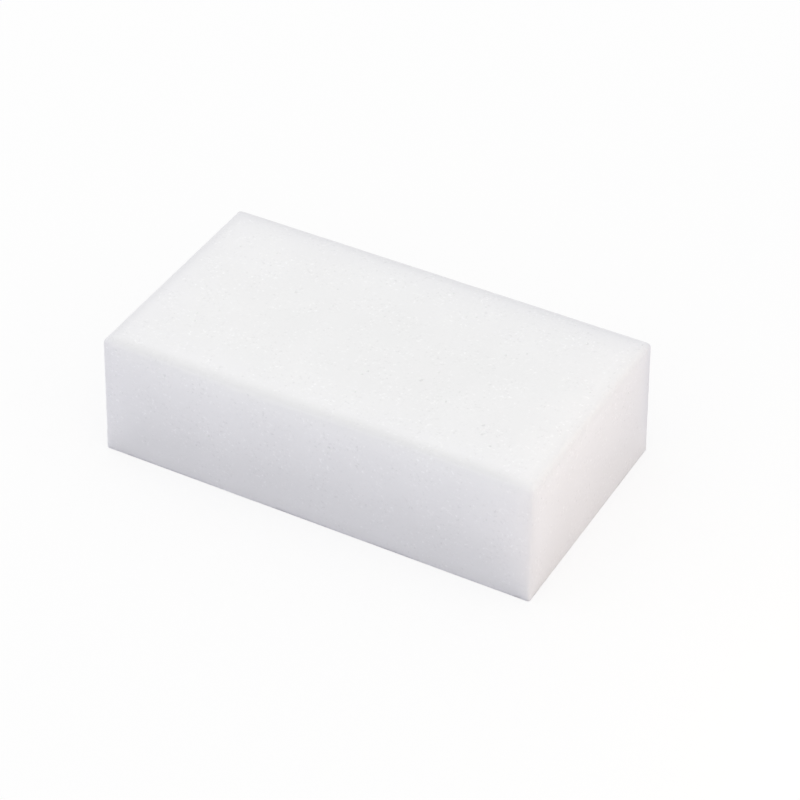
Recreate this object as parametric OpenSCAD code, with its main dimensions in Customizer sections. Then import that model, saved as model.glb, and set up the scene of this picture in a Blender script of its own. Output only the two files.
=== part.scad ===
// Cleaning sponge: one solid block of open-cell melamine foam, knife-cut from a slab.
// Millimetres. The origin is the middle of the foot, +X runs along the block,
// +Z is up, and the long front side faces -Y.

/* [Block] */
// Length of the block at its foot
block_length = 110; // [60:1:160]
// Width of the block at its foot, from the front side to the back side
block_width = 60.8; // [40:0.1:100]
// Height of the block at the middle of its top face
block_height = 31.7; // [20:0.1:60]

/* [Cut faces] */
// How far each short end leans inwards between the foot and the top
end_lean = 0.6; // [0:0.05:3]
// How far each long side leans inwards between the foot and the top
side_lean = 0.65; // [0:0.05:3]
// How much lower the corners of the top face lie than its middle
top_crown = 0.2; // [0:0.05:2]

/* [Edges] */
// Radius of the edge round the top face, away from the worn stretch
top_edge_radius = 1.3; // [0.5:0.1:4]
// Radius of the four upright edges, seen from above
upright_edge_radius = 0.6; // [0.3:0.1:8]
// Radius of the edge round the foot
foot_edge_radius = 0.3; // [0.2:0.1:2]

/* [Worn stretch of the front top edge] */
// Distance of the most worn place from the left end
wear_from_left = 38; // [10:1:50]
// Distance over which the wear fades out on either side of that place
wear_reach = 16; // [5:1:40]
// How much larger the edge radius is at the most worn place
wear_extra_radius = 1.2; // [0:0.1:4]

/* [Fineness] */
// Steps in each quarter turn, both round the upright edges and over the rounded rims
arc_steps = 6; // [3:1:10]
// Longest distance between neighbouring points along a straight side
side_step = 4; // [2:0.5:15]
// Number of rings between the rim of the top face and its middle
top_rings = 6; // [3:1:12]

/* [Hidden] */
half_length = block_length / 2;
half_width = block_width / 2;
// Foam below the foot that the last, flat cut takes off
foot_allowance = 1;
// The cutter for the foot, which reaches a little past the block on each side
cutter_margin = 1;
cutter_length = block_length + 2 * cutter_margin;
cutter_width = block_width + 2 * cutter_margin;

// A place on the way round the block is [u, v, angle]. u and v run from -1 to 1 and pick a
// point of the rectangle through the centres of the upright edges. From there the surface
// lies one upright_edge_radius away, in the direction of angle.
function corner_places(u, v, first_angle) =
    [for (i = [0 : arc_steps]) [u, v, first_angle + 90 * i / arc_steps]];
function side_places(from, to, angle, length) =
    let (n = ceil(length / side_step))
    [for (i = [1 : n - 1]) concat(from + (to - from) * i / n, angle)];
places = concat(
    corner_places(1, -1, -90),
    side_places([1, -1], [1, 1], 0, block_width),
    corner_places(1, 1, 0),
    side_places([1, 1], [-1, 1], 90, block_length),
    corner_places(-1, 1, 90),
    side_places([-1, 1], [-1, -1], 180, block_width),
    corner_places(-1, -1, 180),
    side_places([-1, -1], [1, -1], 270, block_length)
);
around = len(places);

// Where the outline passes a place at height z: the leaning sides and the inset bring it in.
function outline(place, z, inset) =
    let (
        rise = z / block_height,
        x_centre = half_length - end_lean * rise - upright_edge_radius - inset,
        y_centre = half_width - side_lean * rise - upright_edge_radius - inset
    )
    [
        place[0] * x_centre + upright_edge_radius * cos(place[2]),
        place[1] * y_centre + upright_edge_radius * sin(place[2])
    ];

// The top face is a very shallow dome, highest at its middle.
function top_height(x, y) =
    block_height - top_crown * (pow(x / half_length, 2) + pow(y / half_width, 2)) / 2;

// Rubbing has made the front top edge rounder round one place, and less so away from it.
most_worn = [wear_from_left - half_length, -half_width];
function rim_radius(edge) =
    top_edge_radius + wear_extra_radius * exp(-pow(norm(edge - most_worn) / wear_reach, 2));

// Points on the quarter turns, where turn is 0 at the upright side and 90 on the flat.
function foot_point(place, turn) =
    let (
        z = foot_edge_radius * (1 - sin(turn)),
        p = outline(place, z, foot_edge_radius * (1 - cos(turn)))
    )
    [p[0], p[1], z];
function rim_point(place, turn) =
    let (
        edge = outline(place, block_height, 0),
        r = rim_radius(edge),
        z = top_height(edge[0], edge[1]) - r * (1 - sin(turn)),
        p = outline(place, z, r * (1 - cos(turn)))
    )
    [p[0], p[1], z];
function top_point(place, share) =
    let (p = rim_point(place, 90) * share)
    [p[0], p[1], top_height(p[0], p[1])];
function allowance_point(place) =
    let (p = foot_point(place, 90))
    [p[0], p[1], -foot_allowance];

// The rings of the loft: below the foot, round the foot, over the rim, and in to the middle.
turns = [for (i = [0 : arc_steps]) 90 * i / arc_steps];
rings = concat(
    [[for (place = places) allowance_point(place)]],
    [for (i = [arc_steps - 1 : -1 : 0]) [for (place = places) foot_point(place, turns[i])]],
    [for (turn = turns) [for (place = places) rim_point(place, turn)]],
    [for (i = [top_rings - 1 : -1 : 1]) [for (place = places) top_point(place, i / top_rings)]]
);
points = concat(
    [for (ring = rings) each ring],
    [[0, 0, -foot_allowance], [0, 0, block_height]]
);
under_middle = len(rings) * around;
top_middle = under_middle + 1;

// Two triangles join each place to the next, between ring k and the ring after it.
function band(k) = [
    for (i = [0 : around - 1])
        let (
            a = k * around + i,
            b = k * around + (i + 1) % around
        )
        each [[a, a + around, b], [b, a + around, b + around]]
];
// The triangles between ring k and the point in its middle, seen from below.
function fan(middle, k) = [
    for (i = [0 : around - 1]) [middle, k * around + i, k * around + (i + 1) % around]
];
function turned_over(faces) = [for (f = faces) [f[0], f[2], f[1]]];

module lofted_block() {
    polyhedron(
        points = points,
        faces = concat(
            fan(under_middle, 0),
            [for (k = [0 : len(rings) - 2]) each band(k)],
            turned_over(fan(top_middle, len(rings) - 1))
        ),
        convexity = 2
    );
}

// The last cut leaves the foot as one true plane at z = 0.
module foam_block() {
    color([0.96, 0.96, 0.96])
        difference() {
            lofted_block();
            translate([0, 0, -foot_allowance])
                cube([cutter_length, cutter_width, 2 * foot_allowance], center = true);
        }
}

foam_block();
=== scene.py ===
import math

import bmesh
import bpy
import numpy as np
from mathutils import Matrix, Vector, noise
from mathutils.bvhtree import BVHTree
from mathutils.kdtree import KDTree


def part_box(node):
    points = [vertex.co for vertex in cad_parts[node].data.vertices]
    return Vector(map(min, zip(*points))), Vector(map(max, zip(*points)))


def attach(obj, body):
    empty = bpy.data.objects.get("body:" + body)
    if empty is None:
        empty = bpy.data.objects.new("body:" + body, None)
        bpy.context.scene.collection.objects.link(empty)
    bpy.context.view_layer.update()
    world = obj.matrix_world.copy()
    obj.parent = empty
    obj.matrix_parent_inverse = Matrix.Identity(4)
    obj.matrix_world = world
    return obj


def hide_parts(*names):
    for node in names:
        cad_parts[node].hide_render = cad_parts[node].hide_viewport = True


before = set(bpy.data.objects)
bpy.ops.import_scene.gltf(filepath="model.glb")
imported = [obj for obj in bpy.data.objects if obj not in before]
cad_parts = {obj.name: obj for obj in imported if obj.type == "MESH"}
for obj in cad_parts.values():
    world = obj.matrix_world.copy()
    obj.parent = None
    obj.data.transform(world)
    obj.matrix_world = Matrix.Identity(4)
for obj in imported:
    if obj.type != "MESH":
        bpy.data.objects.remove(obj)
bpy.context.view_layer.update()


# Foam block. The whole sponge is one piece of white melamine foam, a stiff open-cell foam
# with cells far under a millimetre. It is knife-cut from a slab, so its six faces are flat
# cuts through the cells, with a few larger voids, and its edges have crumbled a little.

MM = 0.001
block_low, block_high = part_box("foam_block")
block_middle = (block_low + block_high) / 2

# A box of even squares, a little larger than the block, is wrapped onto the solid.
GRID_STEP = 0.56 * MM
WRAP_GAP = 1.0 * MM
SAME_POINT = 0.056 * MM


def wrapped_box(solid, low, high):
    """A skin of even quads on the surface of a boxlike solid."""
    middle = (low + high) / 2
    size = [high[i] - low[i] + 2 * WRAP_GAP for i in range(3)]
    steps = [round(side / GRID_STEP) for side in size]
    skin = bmesh.new()
    for axis in range(3):
        across, along = (axis + 1) % 3, (axis + 2) % 3
        for side in (-0.5, 0.5):
            rows = []
            for j in range(steps[along] + 1):
                row = []
                for i in range(steps[across] + 1):
                    place = Vector()
                    place[axis] = side * size[axis]
                    place[across] = (i / steps[across] - 0.5) * size[across]
                    place[along] = (j / steps[along] - 0.5) * size[along]
                    row.append(skin.verts.new(place + middle))
                rows.append(row)
            for lower, upper in zip(rows, rows[1:]):
                for i in range(steps[across]):
                    quad = [lower[i], lower[i + 1], upper[i + 1], upper[i]]
                    skin.faces.new(quad if side > 0 else quad[::-1])
    bmesh.ops.remove_doubles(skin, verts=skin.verts, dist=SAME_POINT)
    surface = BVHTree.FromPolygons(
        [vert.co for vert in solid.vertices], [face.vertices for face in solid.polygons]
    )
    for vert in skin.verts:
        vert.co = surface.find_nearest(vert.co)[0]
    return skin


skin = wrapped_box(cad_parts["foam_block"].data, block_low, block_high)
SMOOTH_PASSES, SMOOTH_SHARE = 2, 0.5
for _ in range(SMOOTH_PASSES):
    bmesh.ops.smooth_vert(
        skin, verts=skin.verts, factor=SMOOTH_SHARE, use_axis_x=True, use_axis_y=True, use_axis_z=True
    )

# Voids: bubbles in the foam that the knife has cut open. Two stand out on the top face,
# and the others are scattered over every face but the foot. Each is a place and a radius.
TOP_VOIDS = [
    (Vector((15.7, -8.2, 31.7)) * MM, 0.50 * MM),
    (Vector((35.1, -15.7, 31.7)) * MM, 0.42 * MM),
]
SCATTERED_VOIDS = 70
SMALL_VOID, LARGE_VOID = 0.22 * MM, 0.42 * MM
VOID_DEPTH = 0.9
VOID_CUTS = 2
VOID_SEED = 7
draw = np.random.RandomState(VOID_SEED)
skin.verts.ensure_lookup_table()
voids = list(TOP_VOIDS)
while len(voids) < len(TOP_VOIDS) + SCATTERED_VOIDS:
    place = skin.verts[draw.randint(len(skin.verts))].co.copy()
    radius = SMALL_VOID + (LARGE_VOID - SMALL_VOID) * draw.random_sample() ** 2
    if place.z > block_low.z + 2 * LARGE_VOID:
        voids.append((place, radius))

void_finder = KDTree(len(voids))
for number, (place, _) in enumerate(voids):
    void_finder.insert(place, number)
void_finder.balance()


def near_a_void(place, spare):
    """Whether a place is no further outside the rim of a void than spare."""
    _, number, gap = void_finder.find(place)
    return gap < voids[number][1] + spare


void_edges = {
    edge
    for face in skin.faces
    if near_a_void(face.calc_center_median(), GRID_STEP)
    for edge in face.edges
}
bmesh.ops.subdivide_edges(skin, edges=list(void_edges), cuts=VOID_CUTS, use_grid_fill=True)

block_mesh = bpy.data.meshes.new("foam_block_skin")
skin.to_mesh(block_mesh)
skin.free()
block = bpy.data.objects.new("foam_block_skin", block_mesh)
bpy.context.scene.collection.objects.link(block)
block_mesh.shade_smooth()

# Each point then moves along its normal: slow waves that the knife left, low bumps, edges
# that have crumbled and worn, and the voids. The foot stays flat.
WAVE_DEPTH, WAVE_LENGTH, WAVE_OCTAVES, WAVE_SHIFT = 0.04 * MM, 26 * MM, 2, 3.1
BUMP_DEPTH, BUMP_LENGTH, BUMP_OCTAVES, BUMP_SHIFT = 0.012 * MM, 3.2 * MM, 3, 11.7
EDGE_BAND, EDGE_FALL = 1.5 * MM, 1.5
CRUMB_DEPTH, CRUMB_LENGTH, CRUMB_OCTAVES, CRUMB_SHIFT = 0.12 * MM, 1.7 * MM, 2, 23.9
WEAR_DEPTH, WEAR_LENGTH, WEAR_OCTAVES, WEAR_SHIFT = 0.10 * MM, 9 * MM, 1, 37.3
CRUMB_MEAN, WEAR_MEAN = 0.4, 0.5
FINER_SHARE, FINER_STEP = 0.6, 2.0
FACES_DOWN = -0.7


def mesh_vectors(mesh, name):
    """One row of three numbers for each vertex of the mesh."""
    flat = np.empty(len(mesh.vertices) * 3, np.float32)
    mesh.vertices.foreach_get(name, flat)
    return flat.reshape(-1, 3).astype(float)


def unevenness(places, length, octaves, shift):
    """Smooth noise from about -1 to 1 at each place, with features about length across."""
    offset = Vector((shift, 0.7 * shift, -1.3 * shift))
    return np.array(
        [
            noise.fractal(Vector(place) / length + offset, FINER_SHARE, FINER_STEP, octaves)
            for place in places
        ]
    )


def edge_share(places):
    """1 on an edge of the block, falling to 0 at EDGE_BAND from it."""
    gaps = np.minimum(places - np.array(block_low), np.array(block_high) - places)
    to_second_face = np.sort(gaps, axis=1)[:, 1]
    return np.clip(1 - to_second_face / EDGE_BAND, 0, 1) ** EDGE_FALL


places = mesh_vectors(block_mesh, "co")
normals = mesh_vectors(block_mesh, "normal")
edge = edge_share(places)
crumbling = CRUMB_MEAN + unevenness(places, CRUMB_LENGTH, CRUMB_OCTAVES, CRUMB_SHIFT)
wearing = WEAR_MEAN + unevenness(places, WEAR_LENGTH, WEAR_OCTAVES, WEAR_SHIFT)
lift = WAVE_DEPTH * unevenness(places, WAVE_LENGTH, WAVE_OCTAVES, WAVE_SHIFT)
lift += BUMP_DEPTH * unevenness(places, BUMP_LENGTH, BUMP_OCTAVES, BUMP_SHIFT)
lift -= CRUMB_DEPTH * edge * crumbling
lift -= WEAR_DEPTH * edge * wearing
hollow = np.zeros(len(places))
for centre, radius in voids:
    reach = np.linalg.norm(places - np.array(centre), axis=1) / radius
    inside = reach < 1
    lift[inside] -= VOID_DEPTH * radius * np.sqrt(1 - reach[inside] ** 2)
    hollow[inside] = 1 - reach[inside] ** 2
lift[normals[:, 2] < FACES_DOWN] = 0
places += normals * lift[:, None]
places[:, 2] = np.maximum(places[:, 2], block_low.z)
block_mesh.vertices.foreach_set("co", places.astype(np.float32).ravel())
# hollow, stored as void_depth, also sets how much shade is painted into the bottom of each void.
void_depth = block_mesh.attributes.new("void_depth", "FLOAT", "POINT")
void_depth.data.foreach_set("value", hollow.astype(np.float32))
block_mesh.update()

# Melamine foam is a dead-matt white. Most of the light soaks far into its open cells and
# turns the shade soft at its edges, but less far close to the foot, where the cells are
# pressed. Cut cells and loose crumbs make a fine fuzz of dark and light specks, thicker in
# some places than in others. Shade is painted into the colour along the rims, for the light
# that leaks out of the foam there, and into the bottoms of the voids.
DULL_WHITE, FRESH_WHITE = (0.87, 0.87, 0.87, 1), (0.89, 0.89, 0.89, 1)
CELL_SHADE = (0.80, 0.80, 0.80, 1)
CRUMB_WHITE = (0.98, 0.98, 0.98, 1)
VOID_PAINTED_SHADE = (0.75, 0.75, 0.75, 1)
RIM_PAINTED_SHADE = (0.65, 0.65, 0.64, 1)
SOAKED_SHARE = 0.9
LIGHT_REACH, FOOT_REACH = 24 * MM, 0.6 * MM
ROUGH, ROUGHEST = 0.9, 1.0
RELIEF, RELIEF_STRENGTH = 0.06 * MM, 0.5

# Widths of the bands in the foam, in millimetres, and how much shade is painted on the rims at the
# foot, on the sides and near the right end.
RIM_WIDTH, FOOT_RIM, FOOT_BAND, RIGHT_BAND = 4.5, 4, 11, 8
SHADED_AT_FOOT, SHADED_ON_SIDES, SHADED_AT_RIGHT = 0.05, 0.4, 0.4

# Lumps of each noise in a millimetre, and the levels of it between which the specks appear.
FUZZ_PER_MM, PATCHES_PER_MM, TONES_PER_MM = 1.35, 0.16, 0.06
NOISE_LOW, NOISE_HIGH = 0.3, 0.7
CELLS_FROM, CELLS_FULL = 0.40, 0.26
CRUMBS_FROM, CRUMBS_FULL = 0.60, 0.74
PATCH_FROM, PATCH_FULL, FEWEST_SPECKS = 0.38, 0.60, 0.2

foam = bpy.data.materials.new("melamine_foam")
foam.use_nodes = True
nodes, links = foam.node_tree.nodes, foam.node_tree.links
foam_surface = nodes["Principled BSDF"]
foam_surface.inputs["Specular IOR Level"].default_value = 0.0
foam_surface.inputs["Subsurface Weight"].default_value = SOAKED_SHARE
foam_surface.inputs["Subsurface Radius"].default_value = (1.0, 1.0, 1.0)


# The helpers add their nodes to the tree that nodes and links name at the time.
def ramp(value, start, end, low=0.0, high=1.0):
    """The output of a Map Range node that takes value from start..end to low..high."""
    node = nodes.new("ShaderNodeMapRange")
    node.inputs["From Min"].default_value = start
    node.inputs["From Max"].default_value = end
    node.inputs["To Min"].default_value = low
    node.inputs["To Max"].default_value = high
    links.new(value, node.inputs["Value"])
    return node.outputs["Result"]


def combined(operation, first, second):
    """The output of a Math node on two outputs."""
    node = nodes.new("ShaderNodeMath")
    node.operation = operation
    links.new(first, node.inputs[0])
    links.new(second, node.inputs[1])
    return node.outputs["Value"]


def tinted(share, first, second):
    """A colour that goes from first to second as share goes from 0 to 1."""
    node = nodes.new("ShaderNodeMix")
    node.data_type = "RGBA"
    links.new(share, node.inputs["Factor"])
    for name, colour in (("A", first), ("B", second)):
        if isinstance(colour, tuple):
            node.inputs[name].default_value = colour
        else:
            links.new(colour, node.inputs[name])
    return node.outputs["Result"]


coordinates = nodes.new("ShaderNodeTexCoord")
in_mm = nodes.new("ShaderNodeMapping")
in_mm.inputs["Scale"].default_value = (1 / MM, 1 / MM, 1 / MM)
links.new(coordinates.outputs["Object"], in_mm.inputs["Vector"])


def foam_noise(per_mm, detail):
    """Noise from about 0 to 1 with per_mm lumps in a millimetre of foam."""
    node = nodes.new("ShaderNodeTexNoise")
    node.inputs["Scale"].default_value = per_mm
    node.inputs["Detail"].default_value = detail
    links.new(in_mm.outputs["Vector"], node.inputs["Vector"])
    return node.outputs["Fac"]


fuzz = foam_noise(FUZZ_PER_MM, 2)
patches = ramp(foam_noise(PATCHES_PER_MM, 1), PATCH_FROM, PATCH_FULL, FEWEST_SPECKS, 1)
cell_specks = combined("MULTIPLY", ramp(fuzz, CELLS_FROM, CELLS_FULL), patches)
crumb_specks = combined("MULTIPLY", ramp(fuzz, CRUMBS_FROM, CRUMBS_FULL), patches)
tone_share = ramp(foam_noise(TONES_PER_MM, 2), NOISE_LOW, NOISE_HIGH)
tone = tinted(tone_share, DULL_WHITE, FRESH_WHITE)
with_cells = tinted(cell_specks, tone, CELL_SHADE)
with_crumbs = tinted(crumb_specks, with_cells, CRUMB_WHITE)
# Painted shade in the bottoms of the voids, as deep as void_depth.
in_void = nodes.new("ShaderNodeAttribute")
in_void.attribute_name = "void_depth"
with_void_shade = tinted(in_void.outputs["Fac"], with_crumbs, VOID_PAINTED_SHADE)

# How deep a point lies behind each pair of faces: the second smallest of the three depths
# is its distance from the nearest rim.
from_middle = nodes.new("ShaderNodeVectorMath")
from_middle.operation = "SUBTRACT"
from_middle.inputs[1].default_value = block_middle / MM
links.new(in_mm.outputs["Vector"], from_middle.inputs[0])
folded = nodes.new("ShaderNodeVectorMath")
folded.operation = "ABSOLUTE"
links.new(from_middle.outputs["Vector"], folded.inputs[0])
depths = nodes.new("ShaderNodeVectorMath")
depths.operation = "SUBTRACT"
depths.inputs[0].default_value = (block_high - block_low) / 2 / MM
links.new(folded.outputs["Vector"], depths.inputs[1])
depth = nodes.new("ShaderNodeSeparateXYZ")
links.new(depths.outputs["Vector"], depth.inputs["Vector"])
along, across, down = (depth.outputs[axis] for axis in "XYZ")
larger_side = combined("MAXIMUM", along, across)
from_rim = combined(
    "MAXIMUM", combined("MINIMUM", along, across), combined("MINIMUM", larger_side, down)
)
# Painted shade along the rims, for light that leaks out of the foam there: full at a rim and gone at
# RIM_WIDTH from it.
rim_shade_share = ramp(from_rim, 0, RIM_WIDTH, 1, 0)
rim_shade_share = combined("MULTIPLY", rim_shade_share, rim_shade_share)

# The shade painted on the rims is strongest on the top, weaker near the right end, and weakest at the
# foot.
facing = nodes.new("ShaderNodeSeparateXYZ")
links.new(coordinates.outputs["Normal"], facing.inputs["Vector"])
spot = nodes.new("ShaderNodeSeparateXYZ")
links.new(in_mm.outputs["Vector"], spot.inputs["Vector"])
right_end = block_high.x / MM
from_right = ramp(spot.outputs["X"], right_end - RIGHT_BAND, right_end, 1, SHADED_AT_RIGHT)
on_top = combined("MULTIPLY", ramp(facing.outputs["Z"], 0, 1), from_right)
on_sides = ramp(spot.outputs["Z"], 0, FOOT_RIM, SHADED_AT_FOOT, SHADED_ON_SIDES)
rim_shade_share = combined("MULTIPLY", rim_shade_share, combined("MAXIMUM", on_top, on_sides))
# The painted rim shade, over the painted void shade, makes the base colour.
links.new(tinted(rim_shade_share, with_void_shade, RIM_PAINTED_SHADE), foam_surface.inputs["Base Color"])
soaking = ramp(spot.outputs["Z"], 0, FOOT_BAND, FOOT_REACH, LIGHT_REACH)
links.new(soaking, foam_surface.inputs["Subsurface Scale"])
roughness = ramp(fuzz, NOISE_LOW, NOISE_HIGH, ROUGH, ROUGHEST)
links.new(roughness, foam_surface.inputs["Roughness"])

relief = nodes.new("ShaderNodeBump")
relief.inputs["Strength"].default_value = RELIEF_STRENGTH
relief.inputs["Distance"].default_value = RELIEF
links.new(fuzz, relief.inputs["Height"])
links.new(relief.outputs["Normal"], foam_surface.inputs["Normal"])
block_mesh.materials.append(foam)

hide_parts("foam_block")
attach(block, "root")


# Floor. A plain sheet of white paper under the sponge. It shows the sponge's faint shadow
# and fades to pure white further off, and the light that it throws back onto the sponge is
# dimmer than it looks, and a little blue.

FLOOR_HALF = 2.0
FLOOR_DROP = 0.02 * MM
FLOOR_BOUNCE = (0.535, 0.53, 0.625, 1)
FLOOR_WHITE = (1, 1, 1, 1)
NEAR_GLOW = 0.7
FADE_START, FADE_END = 0.10, 0.45

floor_mesh = bpy.data.meshes.new("floor")
floor_corners = [
    (x * FLOOR_HALF, y * FLOOR_HALF, 0) for x, y in ((-1, -1), (1, -1), (1, 1), (-1, 1))
]
floor_mesh.from_pydata(floor_corners, [], [(0, 1, 2, 3)])
floor = bpy.data.objects.new("floor", floor_mesh)
floor.location.z = -FLOOR_DROP
bpy.context.scene.collection.objects.link(floor)

paper = bpy.data.materials.new("floor_paper")
paper.use_nodes = True
nodes, links = paper.node_tree.nodes, paper.node_tree.links
nodes.remove(nodes["Principled BSDF"])
thrown_back = nodes.new("ShaderNodeBsdfDiffuse")
thrown_back.inputs["Color"].default_value = FLOOR_BOUNCE
shaded = nodes.new("ShaderNodeBsdfDiffuse")
shaded.inputs["Color"].default_value = FLOOR_WHITE
glow = nodes.new("ShaderNodeEmission")
glow.inputs["Color"].default_value = FLOOR_WHITE

from_block = nodes.new("ShaderNodeVectorMath")
from_block.operation = "LENGTH"
floor_place = nodes.new("ShaderNodeTexCoord")
links.new(floor_place.outputs["Object"], from_block.inputs[0])
glow_share = ramp(from_block.outputs["Value"], FADE_START, FADE_END, NEAR_GLOW, 1)
sheet = nodes.new("ShaderNodeMixShader")
links.new(glow_share, sheet.inputs["Fac"])
links.new(shaded.outputs["BSDF"], sheet.inputs[1])
links.new(glow.outputs["Emission"], sheet.inputs[2])


def seen_by_eye():
    """1 for camera, glossy and transmission rays in the current node tree, and 0 for others."""
    path = nodes.new("ShaderNodeLightPath")
    glossy, through = path.outputs["Is Glossy Ray"], path.outputs["Is Transmission Ray"]
    return combined("MAXIMUM", path.outputs["Is Camera Ray"], combined("MAXIMUM", glossy, through))


floor_shader = nodes.new("ShaderNodeMixShader")
links.new(seen_by_eye(), floor_shader.inputs["Fac"])
links.new(thrown_back.outputs["BSDF"], floor_shader.inputs[1])
links.new(sheet.outputs["Shader"], floor_shader.inputs[2])
links.new(floor_shader.outputs["Shader"], nodes["Material Output"].inputs["Surface"])
floor_mesh.materials.append(paper)


# Studio light. A white tent lights the sponge from all sides, a little less from the back.
# A weak soft box hangs over it, and a small warm one stands low by its right end.

TENT_WHITE = (0.965, 0.965, 0.965, 1)
TENT_BACK = (0.78, 0.78, 0.78, 1)
SEEN_WHITE = (1, 1, 1, 1)
world = bpy.data.worlds.new("white_tent")
bpy.context.scene.world = world
world.use_nodes = True
nodes, links = world.node_tree.nodes, world.node_tree.links
tent_place = nodes.new("ShaderNodeTexCoord")
towards = nodes.new("ShaderNodeSeparateXYZ")
links.new(tent_place.outputs["Generated"], towards.inputs["Vector"])
tent = tinted(ramp(towards.outputs["Y"], 0, 1), TENT_WHITE, TENT_BACK)
links.new(tinted(seen_by_eye(), tent, SEEN_WHITE), nodes["Background"].inputs["Color"])


def direction(azimuth, elevation):
    """The way from the sponge to something seen from it at these angles, in degrees."""
    turn, rise = math.radians(azimuth), math.radians(elevation)
    return Vector(
        (math.sin(turn) * math.cos(rise), -math.cos(turn) * math.cos(rise), math.sin(rise))
    )


# Each soft box: name, azimuth, elevation, distance in metres, side, watts and colour.
SOFT_BOXES = [
    ("top_box", 290, 80, 0.3, 0.2, 0.041, (1, 1, 1)),
    ("right_box", 80, 0, 0.2, 0.03, 0.037, (1, 0.76, 0.50)),
]
for name, azimuth, elevation, distance, side, watts, colour in SOFT_BOXES:
    lamp = bpy.data.lights.new(name, "AREA")
    lamp.size = side
    lamp.energy = watts
    lamp.color = colour
    soft_box = bpy.data.objects.new(name, lamp)
    to_box = direction(azimuth, elevation)
    soft_box.location = block_middle + to_box * distance
    soft_box.rotation_euler = to_box.to_track_quat("Z", "Y").to_euler()
    bpy.context.scene.collection.objects.link(soft_box)


# Camera. It stands in front of the sponge's right end and above it, far enough off that
# the sponge's long edges run nearly parallel, with a long lens.

VIEW_AZIMUTH, VIEW_ELEVATION = 28.446, 38.187
VIEW_ROLL = math.radians(0.498)
VIEW_AIM = Vector((4.77, 2.22, 14.59)) * MM
VIEW_DISTANCE = 667.64 * MM
FOCAL_LENGTH, FILM_WIDTH = 131.0, 36.0

lens = bpy.data.cameras.new("camera")
lens.lens = FOCAL_LENGTH
lens.sensor_width = FILM_WIDTH
camera = bpy.data.objects.new("camera", lens)
to_camera = direction(VIEW_AZIMUTH, VIEW_ELEVATION)
camera.location = VIEW_AIM + to_camera * VIEW_DISTANCE
turned = to_camera.to_track_quat("Z", "Y").to_matrix() @ Matrix.Rotation(VIEW_ROLL, 3, "Z")
camera.rotation_euler = turned.to_euler()
bpy.context.scene.collection.objects.link(camera)
bpy.context.scene.camera = camera

bpy.context.scene.view_settings.view_transform = "Standard"
